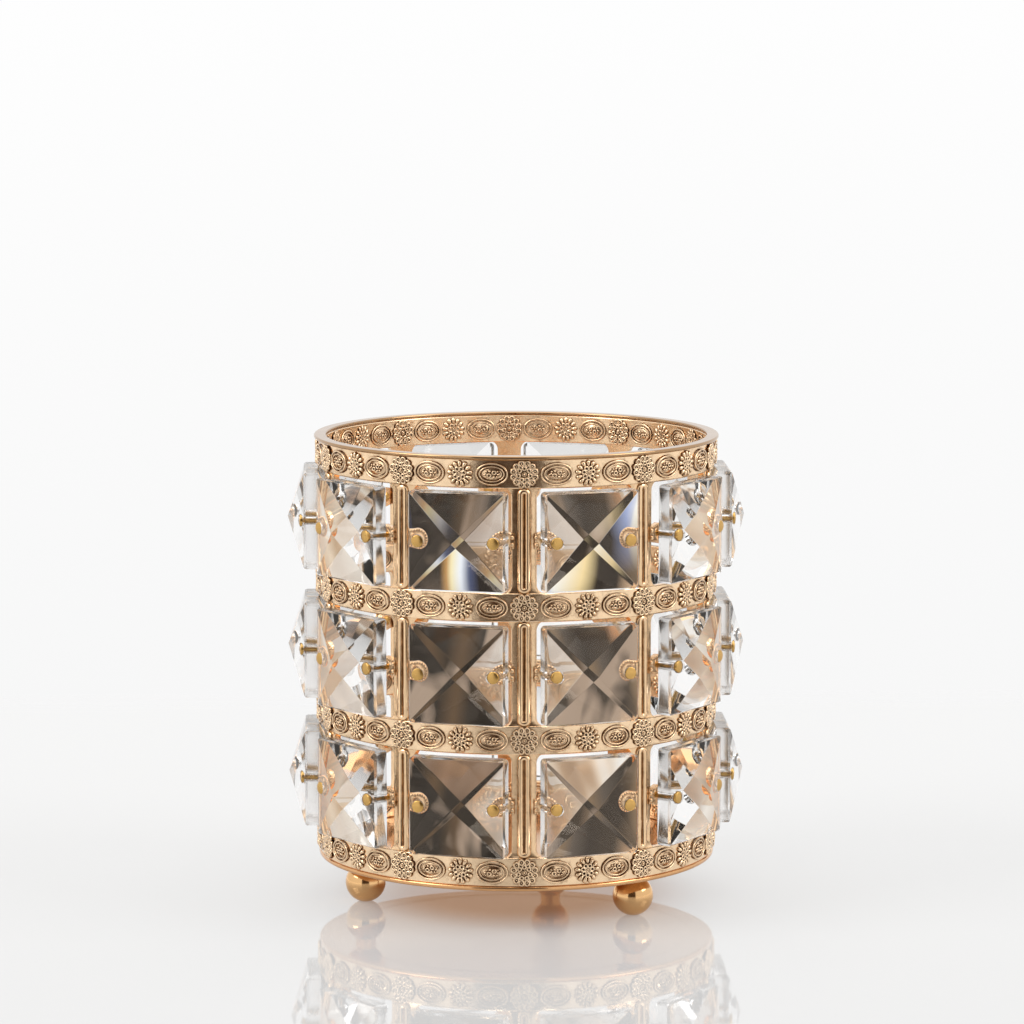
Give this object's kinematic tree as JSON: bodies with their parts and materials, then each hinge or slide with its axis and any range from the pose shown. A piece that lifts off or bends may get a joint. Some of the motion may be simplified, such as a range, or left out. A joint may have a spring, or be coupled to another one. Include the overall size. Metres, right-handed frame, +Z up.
{
  "type": "makeup brush holder",
  "caption": "Open round cup of gold-plated openwork with ornamented bands and square faceted crystals in its windows, standing on ball feet; holds upright brushes.",
  "frame": {"origin": "on the surface it stands on, under the middle of the cup", "axes": "+Z up along the cup's axis, -Y towards the front, where the first upright bar stands"},
  "size_m": [0.1136, 0.109, 0.116],
  "materials": {
    "plated_cage": "bright champagne gold plating on cast metal",
    "plated_lip": "polished champagne gold plating",
    "plated_plate": "polished champagne gold plating",
    "crystal": "clear polished faceted crystal glass",
    "brass_pin": "satin yellow brass",
    "gold_foot": "satin gold plating",
    "steel_screw": "zinc-plated steel"
  },
  "bodies": {
    "root": {"lip_ring": "plated_lip", "base_plate": "plated_plate", "ornament_band_1": "plated_cage", "ornament_band_2": "plated_cage", "ornament_band_3": "plated_cage", "ornament_band_4": "plated_cage", "upright_bar_01": "plated_cage", "upright_bar_02": "plated_cage", "upright_bar_03": "plated_cage", "upright_bar_04": "plated_cage", "upright_bar_05": "plated_cage", "upright_bar_06": "plated_cage", "upright_bar_07": "plated_cage", "upright_bar_08": "plated_cage", "upright_bar_09": "plated_cage", "upright_bar_10": "plated_cage", "crystal_row1_01": "crystal", "crystal_row1_02": "crystal", "crystal_row1_03": "crystal", "crystal_row1_04": "crystal", "crystal_row1_05": "crystal", "crystal_row1_06": "crystal", "crystal_row1_07": "crystal", "crystal_row1_08": "crystal", "crystal_row1_09": "crystal", "crystal_row1_10": "crystal", "crystal_pins_row1": "brass_pin", "crystal_row2_01": "crystal", "crystal_row2_02": "crystal", "crystal_row2_03": "crystal", "crystal_row2_04": "crystal", "crystal_row2_05": "crystal", "crystal_row2_06": "crystal", "crystal_row2_07": "crystal", "crystal_row2_08": "crystal", "crystal_row2_09": "crystal", "crystal_row2_10": "crystal", "crystal_pins_row2": "brass_pin", "crystal_row3_01": "crystal", "crystal_row3_02": "crystal", "crystal_row3_03": "crystal", "crystal_row3_04": "crystal", "crystal_row3_05": "crystal", "crystal_row3_06": "crystal", "crystal_row3_07": "crystal", "crystal_row3_08": "crystal", "crystal_row3_09": "crystal", "crystal_row3_10": "crystal", "crystal_pins_row3": "brass_pin", "ball_foot_1": "gold_foot", "ball_foot_2": "gold_foot", "ball_foot_3": "gold_foot", "foot_screws": "steel_screw"}
  },
  "joints": []
}
